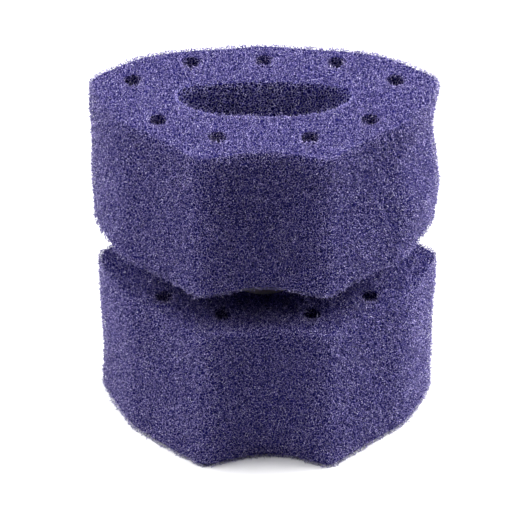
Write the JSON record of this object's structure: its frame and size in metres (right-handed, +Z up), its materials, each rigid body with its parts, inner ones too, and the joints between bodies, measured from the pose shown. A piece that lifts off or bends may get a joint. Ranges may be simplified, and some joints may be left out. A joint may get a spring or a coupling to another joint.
{
  "type": "fluted foam filter sponge pair",
  "caption": "Two fluted oval filter foams with a long central opening and small water holes, stacked on a short spacer ring.",
  "frame": {"origin": "on the ground, under the middle of the stack's outline", "axes": "+Z up, through the sponges' central openings; +X along the sponges' long side; -Y towards the hollowed front faces"},
  "size_m": [0.1506, 0.09, 0.1661],
  "materials": {
    "foam": "matte",
    "ring_plastic": "satin"
  },
  "bodies": {
    "lower": {"lower_sponge": "foam"},
    "ring": {"spacer_ring": "ring_plastic"},
    "upper": {"upper_sponge": "foam"}
  },
  "joints": [
    {"name": "ring_lift", "type": "slide", "parent": "lower", "child": "ring", "axis": [0, 0, 1], "range_m": [0, 0.1]},
    {"name": "upper_lift", "type": "slide", "parent": "ring", "child": "upper", "axis": [0, 0, 1], "range_m": [0, 0.1]}
  ]
}
